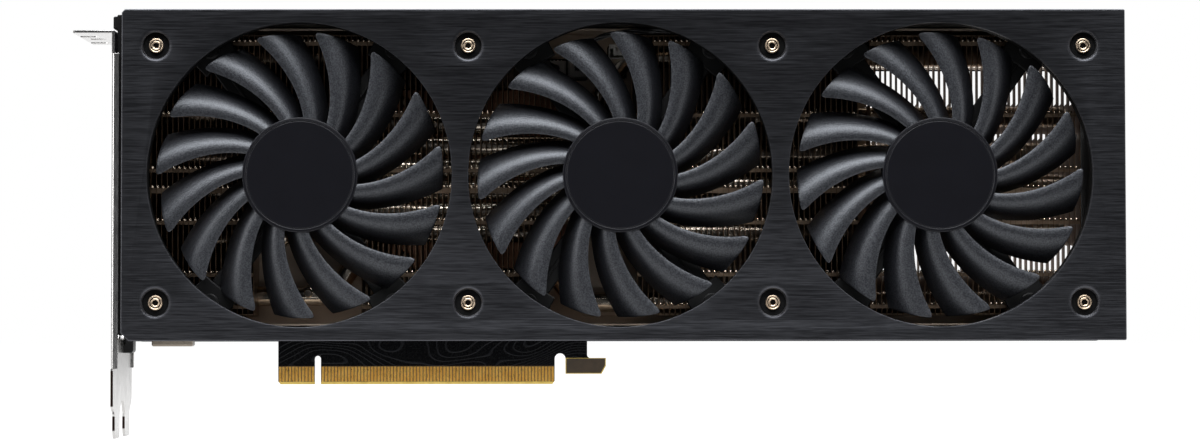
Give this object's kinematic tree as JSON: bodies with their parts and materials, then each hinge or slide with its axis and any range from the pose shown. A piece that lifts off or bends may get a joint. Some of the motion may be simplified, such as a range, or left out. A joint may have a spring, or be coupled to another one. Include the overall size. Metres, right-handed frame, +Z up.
{
  "type": "graphics card",
  "caption": "Two-slot graphics card with a brushed black cover, axial fans over a finned heatsink, edge connector and slot bracket.",
  "frame": {"origin": "middle of the edge connector's bottom face, on the mid-plane of the circuit board", "axes": "+X along the card away from the bracket, +Y from the fan side towards the backplate, +Z up from the edge connector"},
  "size_m": [0.31, 0.0401, 0.1264],
  "materials": {
    "brushed_black": "black anodised, brushed along its length",
    "screw_steel": "bright nickel plated",
    "black_plastic": "fine texture",
    "fan_plastic": "satin with a fine sparkle",
    "badge_black": "matt film",
    "steel": "stamped",
    "copper": "machined copper",
    "cable_black": "satin sleeve",
    "white_nylon": "moulded",
    "fin_metal": "warm nickel plated sheet",
    "pipe_metal": "nickel plated copper",
    "plate_metal": "satin nickel plated",
    "board": "black solder mask over fine traces, gold contacts",
    "chip": "ground silicon on a dark substrate",
    "socket_plastic": "moulded",
    "bracket_steel": "bright nickel plated sheet",
    "dark_aluminium": "black anodised"
  },
  "bodies": {
    "card": {"front_plate": "brushed_black", "plate_screw_1": "screw_steel", "plate_screw_2": "screw_steel", "plate_screw_3": "screw_steel", "plate_screw_4": "screw_steel", "plate_screw_5": "screw_steel", "plate_screw_6": "screw_steel", "plate_screw_7": "screw_steel", "plate_screw_8": "screw_steel", "shroud": "black_plastic", "shroud_top_rail": "black_plastic", "shroud_bottom_rail": "black_plastic", "shroud_end_cap": "black_plastic", "fan_frame_1": "black_plastic", "fan_stator_1": "copper", "fan_cable_1": "cable_black", "fan_plug_1": "white_nylon", "fan_frame_2": "black_plastic", "fan_stator_2": "copper", "fan_cable_2": "cable_black", "fan_plug_2": "white_nylon", "fan_frame_3": "black_plastic", "fan_stator_3": "copper", "fan_cable_3": "cable_black", "fan_plug_3": "white_nylon", "fin_stack_main": "fin_metal", "fin_stack_tail": "fin_metal", "heat_pipe_1": "pipe_metal", "heat_pipe_2": "pipe_metal", "heat_pipe_3": "pipe_metal", "heat_pipe_4": "pipe_metal", "heat_pipe_5": "pipe_metal", "heat_pipe_6": "pipe_metal", "cold_plate": "copper", "mid_plate": "plate_metal", "tail_frame": "plate_metal", "circuit_board": "board", "gpu_package": "chip", "power_connector_1": "socket_plastic", "power_connector_2": "socket_plastic", "display_port_1": "steel", "display_port_2": "steel", "display_port_3": "steel", "hdmi_port": "steel", "io_bracket": "bracket_steel", "backplate": "dark_aluminium", "retention_spring": "steel", "spring_screw_1": "screw_steel", "spring_screw_2": "screw_steel", "spring_screw_3": "screw_steel", "spring_screw_4": "screw_steel"},
    "rotor_1": {"fan_rotor_1": "fan_plastic", "fan_badge_1": "badge_black", "fan_shaft_1": "steel"},
    "rotor_2": {"fan_rotor_2": "fan_plastic", "fan_badge_2": "badge_black", "fan_shaft_2": "steel"},
    "rotor_3": {"fan_rotor_3": "fan_plastic", "fan_badge_3": "badge_black", "fan_shaft_3": "steel"}
  },
  "joints": [
    {"name": "fan_1_spin", "type": "hinge", "parent": "card", "child": "rotor_1", "pos_m": [-0.03275, -0.029, 0.06225], "axis": [0, -1, 0], "continuous": true},
    {"name": "fan_2_spin", "type": "hinge", "parent": "card", "child": "rotor_2", "pos_m": [0.06165, -0.029, 0.06225], "axis": [0, -1, 0], "continuous": true},
    {"name": "fan_3_spin", "type": "hinge", "parent": "card", "child": "rotor_3", "pos_m": [0.15605, -0.029, 0.06225], "axis": [0, -1, 0], "continuous": true}
  ]
}
